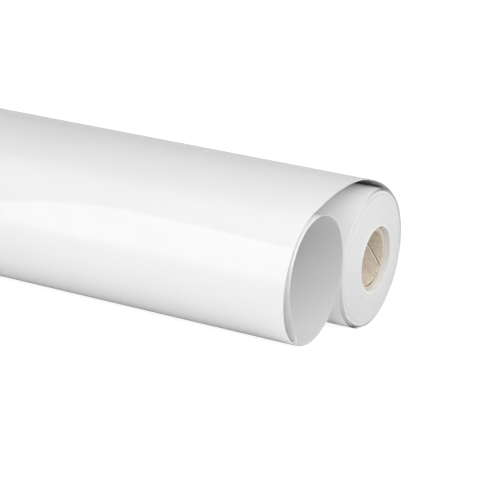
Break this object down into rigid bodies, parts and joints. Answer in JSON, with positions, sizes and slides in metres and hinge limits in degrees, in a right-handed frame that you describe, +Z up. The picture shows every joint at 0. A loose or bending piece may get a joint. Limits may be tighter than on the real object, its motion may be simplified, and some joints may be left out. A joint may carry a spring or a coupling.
{
  "type": "roll of sign vinyl",
  "caption": "Roll of white self-adhesive sign vinyl on a paperboard core, its free end arched off the top into a loose curl lying in front of it.",
  "frame": {"origin": "middle of the core's bore, on its axis, halfway along the core", "axes": "+X along the core towards the end that the picture shows, +Y to the back of the roll, +Z up; the curl lies in front, at -Y"},
  "size_m": [0.6165, 0.3628, 0.2095],
  "materials": {
    "vinyl_film": "smooth gloss white calendered PVC film",
    "release_liner": "satin silicone-coated paper, pale grey",
    "wound_web": "slit edges of many wound laps, matt white with fine lap lines",
    "core_board": "spiral-wound tan paperboard, matt",
    "start_tape": "thin amber adhesive tape"
  },
  "bodies": {
    "web": {"loose_laps_film": "vinyl_film", "loose_laps_liner": "release_liner", "outer_lap_film": "vinyl_film", "outer_lap_liner": "release_liner", "arch_film": "vinyl_film", "arch_liner": "release_liner"},
    "roll": {"core_inner_ply": "core_board", "core_ply_1": "core_board", "core_ply_2": "core_board", "core_ply_3": "core_board", "core_ply_4": "core_board", "core_ply_5": "core_board", "core_ply_6": "core_board", "core_ply_7": "core_board", "core_ply_8": "core_board", "core_outer_ply": "core_board", "start_tape": "start_tape", "wound_pack": "wound_web"},
    "curl": {"curl_front_film": "vinyl_film", "curl_front_liner": "release_liner", "curl_film": "vinyl_film", "curl_liner": "release_liner"}
  },
  "joints": [
    {"name": "roll_turn", "type": "hinge", "parent": "web", "child": "roll", "pos_m": [0, 0, 0], "axis": [1, 0, 0], "range_deg": [0, 180]},
    {"name": "web_pull", "type": "slide", "parent": "web", "child": "curl", "axis": [0, -1, 0], "range_m": [0, 0.304], "deforming": ["arch_film", "arch_liner"]}
  ],
  "couplings": [
    {"joint": "web_pull", "follows": "roll_turn", "m_per_rad": 0.0966}
  ]
}
